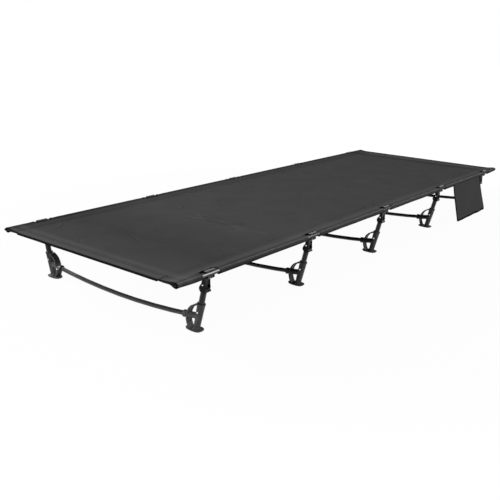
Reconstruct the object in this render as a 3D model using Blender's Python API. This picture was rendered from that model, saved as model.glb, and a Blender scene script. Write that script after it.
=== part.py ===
"""Ultralight camp bed: cloth deck on two sectional side rails, carried by five leg sets.

Metres, +Z up. The origin is on the ground under the middle of the bed, +X runs along its length
to the head end, and -Y is the side that carries the pocket. Every piece of a leg is modelled for
the +Y side, where local +Y points outwards, and is turned half round Z for the -Y side.
"""

import math

import bmesh
import bpy
from mathutils import Matrix, Vector

# Fits
GAP = 0.0003            # clearance between pieces that touch

# Bed
LENGTH = 1.900          # deck, end to end
RAIL_SPAN = 0.6446      # between the two rail axes
RAIL_HEIGHT = 0.1528    # rail axis above the ground
LEG_SETS = 5
END_OVERHANG = 0.114    # deck beyond the axis of an end leg set

# Side rails
RAIL_D = 0.0120
RAIL_WALL = 0.0010
RAIL_INSET = 0.005      # rail end inside the deck's end
PLUG_BORE = 0.0036      # hole for the cord's knot
PLUG_CHAMFER = 0.0020
PLUG_DEPTH = 0.012

# Deck
DECK_CLOTH = 0.0008
SLEEVE_DEPTH = 0.0503   # rail axis to the sleeve's seam
SEAM_ALLOWANCE = 0.008
NOTCH_LENGTH = 0.058
NOTCH_DEPTH = 0.0168    # top layer; below the rail the notch reaches to its middle
NOTCH_UNDER = 0.0294    # lower layer, where the lever's lugs swing
NOTCH_UNDER_GAP = 0.0020        # beside the lugs
NOTCH_TAPER = 0.006     # each end of the notch leans in by this much
CORNER_RADIUS = 0.010
HEM_WIDTH = 0.036

# Pocket
POCKET_CLOTH = 0.0010
POCKET_WIDTH = 0.264
POCKET_OFFSET = 0.018   # towards the head, from midway between the last two leg sets
POCKET_HANG = 0.136     # from its sewn top edge to its bottom
POCKET_LIP_DROP = 0.008
POCKET_MOUTH = 0.0070
POCKET_BASE = 0.0190    # outer depth at the bottom
POCKET_CHAMFER = (0.003, 0.006)
POCKET_OPEN = 0.010     # cutter's reach above the mouth

# Struts
STRUT_D = 0.0150
STRUT_WALL = 0.0012
STRUT_LEAN = math.radians(13.2)
STRUT_FLOOR = 0.0220    # strut's lower end above the ground
STRUT_TOP = 0.0067      # strut's upper end below the pivot, along the strut

# Clamp pivot, from the rail's axis
PIVOT_IN = 0.0133
PIVOT_DROP = 0.0293
PIN_D = 0.0032
PIN_HEAD_D = 0.0050
PIN_HEAD = 0.0011
PIN_FACE = 0.6          # flat share of a head's radius

# Rail hook
HOOK_WALL = 0.0028
HOOK_LIP = math.radians(62)     # upper lip's end, up from outboard round the rail
HOOK_SEAT = math.radians(290)   # lower jaw's end
WING_END = math.radians(194)    # where the wide part of the hook's back ends
WING_HALF = 0.0165
PLUG_REACH = 0.0140     # into the strut
SHOULDER = 0.0015
EYE_RADIUS = 0.0048     # of the hook's neck at the pivot
# Edges of the neck, as distance outboard of the pivot and height above it
NECK_INNER = ((0.0024, 0.0200), (-0.0012, 0.0130), (-0.0034, 0.0070))
NECK_OUTER = ((0.0056, 0.0088), (0.0088, 0.0148), (0.0128, 0.0188))
NECK_RISE = 0.0020      # where the outer edge leaves the strut's line

# Clamp lever
CHEEK = 0.0019
LEVER_FACE = 0.0080     # outer face, outboard of the pivot
LEVER_REACH = 0.0185    # lower edge below the pivot
THUMB_LIP = 0.0018      # beyond the outer face
LUG_HALF = 0.0175
LUG_R = 0.0043          # round section of the lugs
CROWN_INSET = 0.0006    # cheeks within the lugs
CROWN = (math.radians(-70), math.radians(80))   # ends of the cheeks' round, from the lugs' angle
LUG_ANGLE = math.radians(63)    # lugs' centre, up from outboard round the pivot
# Cheek's edge from its outer top round to its inner top, outboard of and above the pivot
CHEEK_EDGE = (
    (LEVER_FACE - 0.0008, 0.0140), (LEVER_FACE - 0.0010, 0.0020), (LEVER_FACE, -0.0070),
    (LEVER_FACE - 0.0008, -0.0120), (LEVER_FACE + THUMB_LIP - 0.0008, 0.0034 - LEVER_REACH),
    (LEVER_FACE + THUMB_LIP, 0.0020 - LEVER_REACH),
    (LEVER_FACE + THUMB_LIP - 0.0004, 0.0008 - LEVER_REACH),
    (LEVER_FACE + THUMB_LIP - 0.0020, -LEVER_REACH), (0.0020, -0.0005 - LEVER_REACH),
    (-0.0070, 0.0002 - LEVER_REACH), (-0.0102, 0.0040 - LEVER_REACH),
    (-0.0115, 0.0080 - LEVER_REACH), (-0.0106, 0.0125 - LEVER_REACH),
    (-0.0078, 0.0172 - LEVER_REACH), (-0.0040, 0.0216 - LEVER_REACH), (-0.0030, 0.0080),
    (-0.0012, 0.0130), (0.0024, 0.0200))

# Foot
SOCKET_WALL = 0.0022
BARREL_WALL = 0.0016
COLLAR_RIM = 0.0007
COLLAR_TOP = 0.0720
COLLAR_HEIGHT = 0.0040
SOLE_LENGTH = 0.049
SOLE_WIDTH = 0.030
SOLE_THICK = 0.0040
SOLE_CHAMFER = 0.0016
SOLE_CENTRE = -0.0055   # from where the strut's axis meets the ground
SOLE_EDGE = ((0.02, 0.42), (0.14, 0.78), (0.32, 0.95), (0.55, 1.0), (0.75, 0.97), (0.90, 0.80),
             (0.98, 0.48))      # shares of its length and of its width
RIB_WIDTH = 0.0180
RIB_THICK = 0.0036
GROOVE_WIDTH = 0.0090
GROOVE_DEPTH = 0.0012   # on both faces of the arch and of the rib
SOCKET_TAPER = 0.0018   # narrower at the sole
ANKLE_FLARE = 0.0022    # cone that spreads the socket onto the sole
ANKLE_HEIGHT = 0.0060
ANKLE_SINK = 0.0002     # cone's upper end within the socket
BARREL_END = 0.2880     # from the middle of the bed, inside the strut's socket
# Centre lines, as distance inboard of where the strut's axis meets the ground and height
ARCH_TOP = (-0.0060, 0.0680)
ARCH_TURN = (0.0160, 0.0630)
ARCH_LOW = (0.0230, 0.0390)
RIB_TOP = (0.0255, 0.0270)
RIB_TURN = (0.0240, 0.0150)
RIB_LOW = (0.0170, 0.0020)

# Crossbar
BAR_D = 0.0120
BAR_WALL = 0.0010
BAR_SAG = 0.0135
MOUTH_HEIGHT = 0.0325   # bar's axis at the foot's mouth
MOUTH_INBOARD = 0.0385  # mouth, inboard of where the strut's axis meets the ground
MOUTH_FLARE = 0.0016
MOUTH_DEPTH = 0.0095
BAR_INSERT = 0.0250

# Mesh fineness
TUBE_SIDES = 14
BORE_SIDES = 12
BAR_SIDES = 10
PIN_SIDES = 8
ARC_STEP = math.radians(30)
BAR_STEPS = 8
WELD = 0.000002
FLAT = math.radians(0.3)

RAIL_R = RAIL_D / 2
RAIL_Y = RAIL_SPAN / 2
STRUT_R = STRUT_D / 2
BAR_R = BAR_D / 2
PIN_R = PIN_D / 2

RAIL_AXIS = Vector((RAIL_Y, RAIL_HEIGHT))
PIVOT = RAIL_AXIS - Vector((PIVOT_IN, PIVOT_DROP))
FOOT_Y = PIVOT.x - PIVOT.y * math.tan(STRUT_LEAN)
MOUTH_Y = FOOT_Y - MOUTH_INBOARD
BAR_RADIUS = (MOUTH_Y ** 2 + BAR_SAG ** 2) / (2 * BAR_SAG)
BAR_CENTRE = Vector((0, MOUTH_HEIGHT - BAR_SAG + BAR_RADIUS))
BAR_MOUTH_ANGLE = math.asin(MOUTH_Y / BAR_RADIUS)
BAR_END_ANGLE = math.asin((MOUTH_Y + BAR_INSERT) / BAR_RADIUS)
LEG_SPACING = (LENGTH - 2 * END_OVERHANG) / (LEG_SETS - 1)
LEG_XS = [(i - (LEG_SETS - 1) / 2) * LEG_SPACING for i in range(LEG_SETS)]
SIDES = (("right", math.pi), ("left", 0.0))


def clear_scene():
    """Start from an empty scene."""
    for item in list(bpy.data.objects):
        bpy.data.objects.remove(item, do_unlink=True)


def material(name, colour, roughness, metallic=0.0):
    """Plain surface with one colour."""
    made = bpy.data.materials.new(name)
    made.use_nodes = True
    surface = made.node_tree.nodes["Principled BSDF"]
    surface.inputs["Base Color"].default_value = (*colour, 1.0)
    surface.inputs["Roughness"].default_value = roughness
    surface.inputs["Metallic"].default_value = metallic
    made.diffuse_color = (*colour, 1.0)
    return made


def mesh_from(bm, name):
    """Mesh of a bmesh, with its faces turned out."""
    bmesh.ops.recalc_face_normals(bm, faces=bm.faces)
    mesh = bpy.data.meshes.new(name)
    bm.to_mesh(mesh)
    bm.free()
    return mesh


def place(name, mesh, surface, location=(0, 0, 0), turn=0.0, smooth=30):
    """Object of its own for a mesh that it may share with others."""
    if surface.name not in mesh.materials:
        mesh.materials.clear()
        mesh.materials.append(surface)
        mesh.shade_smooth()
        mesh.set_sharp_from_angle(angle=math.radians(smooth))
    made = bpy.data.objects.new(name, mesh)
    made.location = location
    made.rotation_euler = (0, 0, turn)
    bpy.context.scene.collection.objects.link(made)
    return made


def combined(mesh, others, operation):
    """Mesh united with, or cut by, each of the others in turn."""
    body = bpy.data.objects.new("body", mesh)
    bpy.context.scene.collection.objects.link(body)
    tools = []
    for other in others:
        tool = bpy.data.objects.new("tool", other)
        bpy.context.scene.collection.objects.link(tool)
        step = body.modifiers.new("step", "BOOLEAN")
        step.operation = operation
        step.solver = "EXACT"
        step.object = tool
        tools.append(tool)
    graph = bpy.context.evaluated_depsgraph_get()
    result = bpy.data.meshes.new_from_object(body.evaluated_get(graph))
    for item in [body, *tools]:
        bpy.data.objects.remove(item, do_unlink=True)
    return cleaned(result)


def cleaned(mesh):
    """Mesh without the extra corners and edges that cuts leave on its flat faces."""
    bm = bmesh.new()
    bm.from_mesh(mesh)
    bmesh.ops.remove_doubles(bm, verts=bm.verts, dist=WELD)
    bmesh.ops.dissolve_limit(bm, angle_limit=FLAT, verts=bm.verts, edges=bm.edges)
    return mesh_from(bm, mesh.name)


def united(mesh, *others):
    return combined(mesh, others, "UNION")


def cut(mesh, *others):
    return combined(mesh, others, "DIFFERENCE")


def polar(angle, radius=1.0, centre=(0, 0)):
    """Point at an angle up from outboard, in the plane across the bed."""
    return Vector((centre[0] + radius * math.cos(angle), centre[1] + radius * math.sin(angle)))


def arc(centre, radius, start, end, step=ARC_STEP):
    """Points along a circular arc, both ends included."""
    count = max(1, math.ceil(abs(end - start) / step - 1e-6))
    return [polar(start + (end - start) * i / count, radius, centre) for i in range(count + 1)]


def bezier(first, control, last, count):
    """Points along a quadratic curve, both ends included."""
    points = []
    for i in range(count + 1):
        t = i / count
        points.append((1 - t) ** 2 * first + 2 * t * (1 - t) * control + t ** 2 * last)
    return points


def prism(outline, half_width, holes=()):
    """Solid between x = -half_width and +half_width over a (y, z) outline."""
    bm = bmesh.new()
    edges = []
    for loop in (outline, *holes):
        corners = [bm.verts.new((0, y, z)) for y, z in loop]
        for here, after in zip(corners, corners[1:] + corners[:1]):
            edges.append(bm.edges.new((here, after)))
    filled = bmesh.ops.triangle_fill(bm, use_beauty=True, use_dissolve=False, edges=edges)
    faces = [part for part in filled["geom"] if isinstance(part, bmesh.types.BMFace)]
    raised = bmesh.ops.extrude_face_region(bm, geom=faces, use_keep_orig=True)
    far = {part for part in raised["geom"] if isinstance(part, bmesh.types.BMVert)}
    for corner in bm.verts:
        corner.co.x = half_width if corner in far else -half_width
    return mesh_from(bm, "prism")


def plan_prism(outline, low, high):
    """Solid from z = low to z = high over an (x, y) outline."""
    bm = bmesh.new()
    face = bm.faces.new([bm.verts.new((x, y, low)) for x, y in outline])
    raised = bmesh.ops.extrude_face_region(bm, geom=[face], use_keep_orig=True)
    for part in raised["geom"]:
        if isinstance(part, bmesh.types.BMVert):
            part.co.z = high
    return mesh_from(bm, "plan_prism")


def box(low, high):
    """Rectangular solid between two corners."""
    return plan_prism([(low[0], low[1]), (high[0], low[1]), (high[0], high[1]), (low[0], high[1])],
                      low[2], high[2])


def turned(profile, axis_matrix, sides=TUBE_SIDES):
    """Solid of revolution of a closed (radius, height) profile, or an open one ending on the axis."""
    bm = bmesh.new()
    rings = []
    for radius, height in profile:
        if radius == 0:
            rings.append([bm.verts.new((0, 0, height))])
            continue
        rings.append([
            bm.verts.new((radius * math.cos(math.tau * i / sides),
                          radius * math.sin(math.tau * i / sides), height))
            for i in range(sides)])
    pairs = list(zip(rings, rings[1:]))
    if profile[0][0] and profile[-1][0]:
        pairs.append((rings[-1], rings[0]))
    for low, high in pairs:
        for i in range(sides):
            j = (i + 1) % sides
            corners = [low[i % len(low)], low[j % len(low)], high[j % len(high)], high[i % len(high)]]
            bm.faces.new(list(dict.fromkeys(corners)))
    bmesh.ops.transform(bm, matrix=axis_matrix, verts=bm.verts)
    return mesh_from(bm, "turned")


def rod(start, end, radius, end_radius=None, sides=BORE_SIDES):
    """Round rod, or cone frustum, between two points."""
    start = Vector(start)
    along = Vector(end) - start
    frame = Matrix.Translation(start) @ along.to_track_quat("Z", "Y").to_matrix().to_4x4()
    last = radius if end_radius is None else end_radius
    return turned([(0, 0), (radius, 0), (last, along.length), (0, along.length)], frame, sides)


def bar_arc(radii, start, end, steps, sides=BAR_SIDES):
    """Solid round the crossbar's curved axis; two radii make a tube and one a rod."""
    bm = bmesh.new()
    rings = []
    for i in range(steps + 1):
        angle = start + (end - start) * i / steps
        outward = Vector((0, math.sin(angle), -math.cos(angle)))
        centre = Vector((0, *BAR_CENTRE)) + BAR_RADIUS * outward
        rings.append([[
            bm.verts.new(centre + radius * (math.cos(math.tau * k / sides) * Vector((1, 0, 0))
                                            + math.sin(math.tau * k / sides) * outward))
            for k in range(sides)] for radius in radii])
    for here, after in zip(rings, rings[1:]):
        for low, high in zip(here, after):
            for k in range(sides):
                j = (k + 1) % sides
                bm.faces.new((low[k], low[j], high[j], high[k]))
    for cap in (rings[0], rings[-1]):
        if len(radii) == 1:
            bm.faces.new(cap[0])
            continue
        for k in range(sides):
            j = (k + 1) % sides
            bm.faces.new((cap[0][k], cap[0][j], cap[1][j], cap[1][k]))
    return mesh_from(bm, "bar_arc")


def ribbon(path, thickness, half_width):
    """Band of even width across the foot that follows a path in the (y, z) plane."""
    outline = offset_path(path, thickness / 2) + offset_path(path, -thickness / 2)[::-1]
    return prism(outline, half_width)


def offset_path(path, distance):
    """Path moved sideways, to its left when followed from first to last."""
    moved = []
    for i, point in enumerate(path):
        along = (path[min(i + 1, len(path) - 1)] - path[max(i - 1, 0)]).normalized()
        moved.append(point + Vector((-along.y, along.x)) * distance)
    return moved


def strut_point(rise, outward=0.0):
    """Point in the leg's plane, by its distance up the strut from the pivot and out from its axis."""
    up = Vector((math.sin(STRUT_LEAN), math.cos(STRUT_LEAN)))
    out = Vector((math.cos(STRUT_LEAN), -math.sin(STRUT_LEAN)))
    return PIVOT + up * rise + out * outward


def strut_axis_at(height):
    """Point of the strut's axis at a height above the ground."""
    return strut_point((height - PIVOT.y) / math.cos(STRUT_LEAN))


def in_leg(point):
    """Point of the leg's plane in three dimensions."""
    return Vector((0, point.x, point.y))


def strut_mesh():
    """Leaning tube from the foot's socket to the hook's shoulder."""
    low = strut_axis_at(STRUT_FLOOR)
    length = (strut_point(-STRUT_TOP) - low).length
    frame = Matrix.Translation(in_leg(low)) @ Matrix.Rotation(-STRUT_LEAN, 4, "X")
    inner = STRUT_R - STRUT_WALL
    return turned([(STRUT_R, 0), (STRUT_R, length), (inner, length), (inner, 0)], frame)


def pin_mesh():
    """Pivot pin with a round head at each end, centred on the pivot."""
    inside = (STRUT_R + GAP + CHEEK) + GAP
    outside = inside + PIN_HEAD
    head = PIN_HEAD_D / 2
    flat = head * PIN_FACE
    profile = [(0, -outside), (flat, -outside), (head, -inside), (PIN_R, -inside),
               (PIN_R, inside), (head, inside), (flat, outside), (0, outside)]
    return turned(profile, Matrix.Rotation(math.pi / 2, 4, "Y"), PIN_SIDES)


def from_pivot(rise, outward):
    """Point along and out from the strut's axis, relative to the pivot."""
    return strut_point(rise, outward) - PIVOT


def hook_mesh():
    """Rail hook: plug in the strut, neck with the pivot's eye, and a wide hook round the rail."""
    rail = RAIL_AXIS - PIVOT
    seat = RAIL_R + GAP
    back = seat + HOOK_WALL
    foot = GAP - STRUT_TOP
    neck = [Vector(point) for point in NECK_INNER]
    neck += [from_pivot(0, -EYE_RADIUS), from_pivot(foot + SHOULDER / 2, -EYE_RADIUS)]
    neck += [from_pivot(foot + SHOULDER / 2, EYE_RADIUS), from_pivot(NECK_RISE, EYE_RADIUS)]
    neck += [Vector(point) for point in NECK_OUTER]
    wings = arc(rail, seat, WING_END, HOOK_LIP) + arc(rail, back, HOOK_LIP, WING_END)
    centre = arc(rail, seat, HOOK_SEAT, WING_END)[:-1] + wings
    centre += neck + [polar(HOOK_SEAT, back, rail)]
    plug_low = from_pivot(foot - PLUG_REACH, 0)
    plug_high = from_pivot(foot + SHOULDER, 0)
    ring_low = from_pivot(foot, 0)
    plug = rod(in_leg(plug_low), in_leg(plug_high), STRUT_R - STRUT_WALL - GAP)
    ring = rod(in_leg(ring_low), in_leg(plug_high), STRUT_R)
    bore = rod((-STRUT_D, 0, 0), (STRUT_D, 0, 0), PIN_R + GAP, sides=PIN_SIDES)
    return cut(united(prism(centre, STRUT_R), prism(wings, WING_HALF), ring, plug), bore)


def lever_mesh():
    """Clamp lever: two cheeks, a web with a thumb lip below, and two lugs under the rail."""
    reach = (RAIL_AXIS - PIVOT).length - RAIL_R - 2 * GAP
    lug = polar(LUG_ANGLE, reach - LUG_R)
    crown = arc(lug, LUG_R - CROWN_INSET, LUG_ANGLE + CROWN[0], LUG_ANGLE + CROWN[1])
    edge = [Vector(point) for point in CHEEK_EDGE]
    cheeks = prism(crown + edge[::-1], STRUT_R + GAP + CHEEK)
    lugs = rod((-LUG_HALF, *lug), (LUG_HALF, *lug), LUG_R)
    web = STRUT_R + GAP
    far = 3 * LEVER_REACH
    channel = prism([from_pivot(-far, web), from_pivot(-STRUT_TOP, web), from_pivot(-STRUT_TOP, far),
                     Vector((far, far)), Vector((-far, far)), Vector((-far, -far))], web)
    bore = rod((-2 * WING_HALF, 0, 0), (2 * WING_HALF, 0, 0), PIN_R + GAP, sides=PIN_SIDES)
    return cut(united(cheeks, lugs), channel, bore)


def sole_mesh():
    """Oval sole with a bevelled lower edge."""
    inner = FOOT_Y + SOLE_CENTRE - SOLE_LENGTH / 2
    side = [Vector((width * SOLE_WIDTH / 2, inner + share * SOLE_LENGTH)) for share, width in SOLE_EDGE]
    outline = [Vector((0, inner))] + side + [Vector((0, inner + SOLE_LENGTH))]
    outline += [Vector((-point.x, point.y)) for point in side[::-1]]
    middle = Vector((0, inner + SOLE_LENGTH / 2))
    levels = ((SOLE_CHAMFER, 0), (0, SOLE_CHAMFER), (0, SOLE_THICK))
    bm = bmesh.new()
    rings = []
    for shrink, height in levels:
        ring = []
        for point in outline:
            inward = middle - point
            moved = point + inward * (shrink / inward.length)
            ring.append(bm.verts.new((moved.x, moved.y, height)))
        rings.append(ring)
    for low, high in zip(rings, rings[1:]):
        for i in range(len(outline)):
            j = (i + 1) % len(outline)
            bm.faces.new((low[i], low[j], high[j], high[i]))
    bm.faces.new(rings[0])
    bm.faces.new(rings[-1])
    return mesh_from(bm, "sole")


def foot_mesh():
    """Moulded foot: strut socket, crossbar socket, grooved arch and inner rib, and sole."""
    socket_r = STRUT_R + GAP + SOCKET_WALL
    barrel_r = BAR_R + GAP + BARREL_WALL
    collar = strut_axis_at(COLLAR_TOP)
    under_collar = strut_axis_at(COLLAR_TOP - COLLAR_HEIGHT)
    in_collar = strut_axis_at(COLLAR_TOP - COLLAR_HEIGHT / 2)
    low_r = socket_r - SOCKET_TAPER
    ankle = strut_axis_at(low_r * math.sin(STRUT_LEAN) + GAP / 2)
    socket = rod(in_leg(ankle), in_leg(in_collar), low_r, socket_r)
    rim = rod(in_leg(under_collar), in_leg(collar), socket_r + COLLAR_RIM)
    wide_r = low_r + ANKLE_FLARE
    cone_low = strut_axis_at(wide_r * math.sin(STRUT_LEAN) + GAP)
    cone_high = strut_axis_at(SOLE_THICK + ANKLE_HEIGHT)
    cone = rod(in_leg(cone_low), in_leg(cone_high), wide_r, low_r - ANKLE_SINK)

    mouth = bar_point(BAR_MOUTH_ANGLE)
    in_flare = BAR_MOUTH_ANGLE + MOUTH_DEPTH / (2 * BAR_RADIUS)
    throat = bar_point(BAR_MOUTH_ANGLE + MOUTH_DEPTH / BAR_RADIUS)
    barrel = bar_arc([barrel_r], in_flare, math.asin(BARREL_END / BAR_RADIUS), 2)
    flare = rod(in_leg(mouth), in_leg(throat), barrel_r + MOUTH_FLARE, barrel_r + MOUTH_FLARE / 2)

    def at(inboard, height):
        return Vector((FOOT_Y - inboard, height))

    arch_path = bezier(at(*ARCH_TOP), at(*ARCH_TURN), at(*ARCH_LOW), 6)
    rib_path = bezier(at(*RIB_TOP), at(*RIB_TURN), at(*RIB_LOW), 2)
    half = RIB_WIDTH / 2
    arch = ribbon(arch_path, RIB_THICK, half)
    rib = ribbon(rib_path, RIB_THICK, half)
    solid = united(sole_mesh(), socket, cone, rim, barrel, flare, arch, rib)

    grooves = []
    for face in (-RIB_THICK / 2, RIB_THICK / 2):
        arch_face = offset_path(arch_path, face)[1:-1]
        rib_face = offset_path(rib_path, face)
        grooves += [ribbon(path, 2 * GROOVE_DEPTH, GROOVE_WIDTH / 2) for path in (arch_face, rib_face)]
    strut_end = strut_axis_at(STRUT_FLOOR - GAP / math.cos(STRUT_LEAN))
    above = strut_axis_at(COLLAR_TOP + COLLAR_HEIGHT)
    strut_bore = rod(in_leg(strut_end), in_leg(above), STRUT_R + GAP, sides=TUBE_SIDES)
    bar_bore = bar_arc([BAR_R + GAP], BAR_MOUTH_ANGLE - GAP / 2, BAR_END_ANGLE + GAP / BAR_RADIUS, 2)
    return cut(solid, *grooves, strut_bore, bar_bore)


def bar_point(angle):
    """Point of the crossbar's axis at an angle out from the middle of the bed."""
    return BAR_CENTRE + BAR_RADIUS * Vector((math.sin(angle), -math.cos(angle)))


def add_rails(surface):
    """Two tubes, with a bored plug in each end."""
    length = LENGTH - 2 * RAIL_INSET
    bore = RAIL_R - RAIL_WALL
    hole = PLUG_BORE / 2
    profile = [(hole, 0), (RAIL_R - PLUG_CHAMFER, 0), (RAIL_R, PLUG_CHAMFER),
               (RAIL_R, length - PLUG_CHAMFER), (RAIL_R - PLUG_CHAMFER, length), (hole, length),
               (hole, length - PLUG_DEPTH), (bore, length - PLUG_DEPTH), (bore, PLUG_DEPTH),
               (hole, PLUG_DEPTH)]
    along = Matrix.Translation((-length / 2, 0, 0)) @ Matrix.Rotation(math.pi / 2, 4, "Y")
    mesh = turned(profile, along)
    for side, y in (("right", -RAIL_Y), ("left", RAIL_Y)):
        place(f"side_rail_{side}", mesh, surface, (0, y, RAIL_HEIGHT))


def sleeve_lines(radius):
    """Angle at which the sleeve's lower layer leaves a circle round the rail for the seam."""
    seam = Vector((RAIL_Y - SLEEVE_DEPTH, RAIL_HEIGHT + RAIL_R + GAP))
    to_seam = seam - RAIL_AXIS
    return math.atan2(to_seam.y, to_seam.x) + math.acos(radius / to_seam.length)


def deck_outline():
    """Cross-section of the deck, as its outer outline and the two sleeves' inner outlines."""
    inner = RAIL_R + GAP
    outer = inner + DECK_CLOTH
    under = RAIL_HEIGHT + inner
    leave = sleeve_lines(inner) - math.tau
    seam = RAIL_Y - SLEEVE_DEPTH
    right = arc(RAIL_AXIS, outer, math.pi / 2, leave)
    right += [Vector((seam, under - DECK_CLOTH)), Vector((seam - SEAM_ALLOWANCE, under - DECK_CLOTH)),
              Vector((seam - SEAM_ALLOWANCE, under))]
    tunnel = arc(RAIL_AXIS, inner, math.pi / 2, leave) + [Vector((seam, under))]
    mirrored = [Vector((-point.x, point.y)) for point in right[::-1]]
    return right + mirrored, tunnel, [Vector((-point.x, point.y)) for point in tunnel[::-1]]


def notch_cutter(x, side, half, depth, low, high):
    """Space that a notch takes out of a sleeve."""
    edge = RAIL_Y + RAIL_R + GAP + DECK_CLOTH
    inner = edge - depth
    beyond = edge + NOTCH_DEPTH
    outline = [(x - half, beyond), (x - half, edge - NOTCH_TAPER), (x - half + NOTCH_TAPER, inner),
               (x + half - NOTCH_TAPER, inner), (x + half, edge - NOTCH_TAPER), (x + half, beyond)]
    return plan_prism([(px, side * py) for px, py in outline], low, high)


def corner_cutter(end, side):
    """Space outside a rounded corner of the deck."""
    edge = RAIL_Y + RAIL_R + GAP + DECK_CLOTH
    centre = (LENGTH / 2 - CORNER_RADIUS, edge - CORNER_RADIUS)
    rounded = [tuple(point) for point in arc(centre, CORNER_RADIUS, 0, math.pi / 2, math.radians(30))]
    far = (LENGTH / 2 + CORNER_RADIUS, edge + CORNER_RADIUS)
    outline = [(far[0], rounded[0][1])] + rounded + [(rounded[-1][0], far[1]), far]
    deep = 4 * RAIL_D
    return plan_prism([(end * px, side * py) for px, py in outline], RAIL_HEIGHT - deep,
                      RAIL_HEIGHT + deep)


def add_deck(surface):
    """Taut cloth with a sleeve round each rail, notches at the clamps, and hemmed ends."""
    outline, *tunnels = deck_outline()
    cloth = prism(outline, LENGTH / 2, tunnels)
    under = RAIL_HEIGHT + RAIL_R + GAP
    hem_half = RAIL_Y - SLEEVE_DEPTH - SEAM_ALLOWANCE / 2
    hems = []
    for end in (-1, 1):
        xs = sorted((end * (LENGTH / 2 - HEM_WIDTH), end * LENGTH / 2))
        hems.append(box((xs[0], -hem_half, under - DECK_CLOTH), (xs[1], hem_half, under + DECK_CLOTH / 2)))
    low = RAIL_HEIGHT - 2 * RAIL_D
    high = RAIL_HEIGHT + 2 * RAIL_D
    under_half = LUG_HALF + NOTCH_UNDER_GAP + NOTCH_TAPER
    places = [(x, side) for x in LEG_XS for side in (-1, 1)]
    half = NOTCH_LENGTH / 2
    wrap = RAIL_R + GAP + DECK_CLOTH
    cutters = [notch_cutter(x, side, half, NOTCH_DEPTH, RAIL_HEIGHT, high) for x, side in places]
    cutters += [notch_cutter(x, side, half, wrap, low, RAIL_HEIGHT + GAP) for x, side in places]
    cutters += [notch_cutter(x, side, under_half, NOTCH_UNDER, low, under - GAP) for x, side in places]
    cutters += [corner_cutter(end, side) for end in (-1, 1) for side in (-1, 1)]
    mesh = cut(united(cloth, *hems), *cutters)
    place("deck", mesh, surface, smooth=50)


def add_pocket(surface):
    """Open pouch that hangs from the near sleeve, about its sewn top edge."""
    half = POCKET_CLOTH / 2
    back = [Vector((-half, 0)), Vector((-half, -POCKET_HANG))]
    front = [Vector((POCKET_BASE - half - POCKET_CHAMFER[0], -POCKET_HANG)),
             Vector((POCKET_BASE - half, -POCKET_HANG + POCKET_CHAMFER[1])),
             Vector((POCKET_MOUTH + half, -POCKET_LIP_DROP))]
    lip = [Vector((half, -POCKET_LIP_DROP)), Vector((half, 0))]
    shell = prism(back + front + lip, POCKET_WIDTH / 2)
    floor = POCKET_HANG - POCKET_CLOTH
    inside = [Vector((half, -floor)), Vector((POCKET_BASE - half - POCKET_CLOTH, -floor)),
              Vector((POCKET_MOUTH - half, POCKET_OPEN - POCKET_LIP_DROP)), Vector((half, POCKET_OPEN))]
    mesh = cut(shell, prism(inside, POCKET_WIDTH / 2 - POCKET_CLOTH))
    sewn_y = RAIL_Y + RAIL_R + GAP + DECK_CLOTH + GAP + half
    centre_x = LEG_XS[-1] - LEG_SPACING / 2 + POCKET_OFFSET
    place("side_pocket", mesh, surface, (centre_x, -sewn_y, RAIL_HEIGHT), math.pi)


def add_leg_sets(tube, moulding, rivet):
    """Five crossbars, and at each end of one a foot, a strut, a hook, a pin and a lever."""
    bar = bar_arc([BAR_R, BAR_R - BAR_WALL], -BAR_END_ANGLE, BAR_END_ANGLE, BAR_STEPS)
    standing = {"foot": (foot_mesh(), moulding), "leg_tube": (strut_mesh(), tube)}
    pivoting = {"rail_hook": (hook_mesh(), moulding), "lever_pin": (pin_mesh(), rivet),
                "clamp_lever": (lever_mesh(), moulding)}
    for index, x in enumerate(LEG_XS, 1):
        place(f"crossbar_{index}", bar, tube, (x, 0, 0))
        for side, turn in SIDES:
            out = -1 if turn else 1
            for name, (mesh, surface) in standing.items():
                place(f"{name}_{side}_{index}", mesh, surface, (x, 0, 0), turn)
            for name, (mesh, surface) in pivoting.items():
                place(f"{name}_{side}_{index}", mesh, surface, (x, out * PIVOT.x, PIVOT.y), turn)


def build():
    clear_scene()
    cloth = material("cloth", (0.058, 0.058, 0.060), 0.85)
    black_tube = material("black_tube", (0.030, 0.031, 0.033), 0.32, 0.9)
    moulding = material("black_moulding", (0.018, 0.018, 0.019), 0.55)
    rivet = material("bright_rivet", (0.72, 0.72, 0.73), 0.28, 1.0)
    add_deck(cloth)
    add_pocket(cloth)
    add_rails(black_tube)
    add_leg_sets(black_tube, moulding, rivet)


build()
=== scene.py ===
"""Looks of the ultralight camp bed: sewn cloth deck and pocket, finishes of tubes and mouldings."""

import math

import bmesh
import bpy
import numpy as np
from mathutils import Matrix, Vector, noise


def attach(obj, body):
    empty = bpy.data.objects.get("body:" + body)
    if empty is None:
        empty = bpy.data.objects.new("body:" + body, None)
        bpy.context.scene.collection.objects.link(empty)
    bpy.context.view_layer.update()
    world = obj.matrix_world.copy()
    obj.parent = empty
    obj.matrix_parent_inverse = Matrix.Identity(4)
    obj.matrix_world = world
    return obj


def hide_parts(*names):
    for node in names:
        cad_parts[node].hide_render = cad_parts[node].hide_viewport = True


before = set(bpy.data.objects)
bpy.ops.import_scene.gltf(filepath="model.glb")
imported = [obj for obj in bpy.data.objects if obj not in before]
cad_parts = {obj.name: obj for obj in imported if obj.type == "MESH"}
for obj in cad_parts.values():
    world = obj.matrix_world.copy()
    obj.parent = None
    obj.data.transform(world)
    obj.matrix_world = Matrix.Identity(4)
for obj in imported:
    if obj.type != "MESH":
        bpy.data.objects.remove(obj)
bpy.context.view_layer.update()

BED = "bed"
POCKET_BODY = "side_pocket_body"

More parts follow.
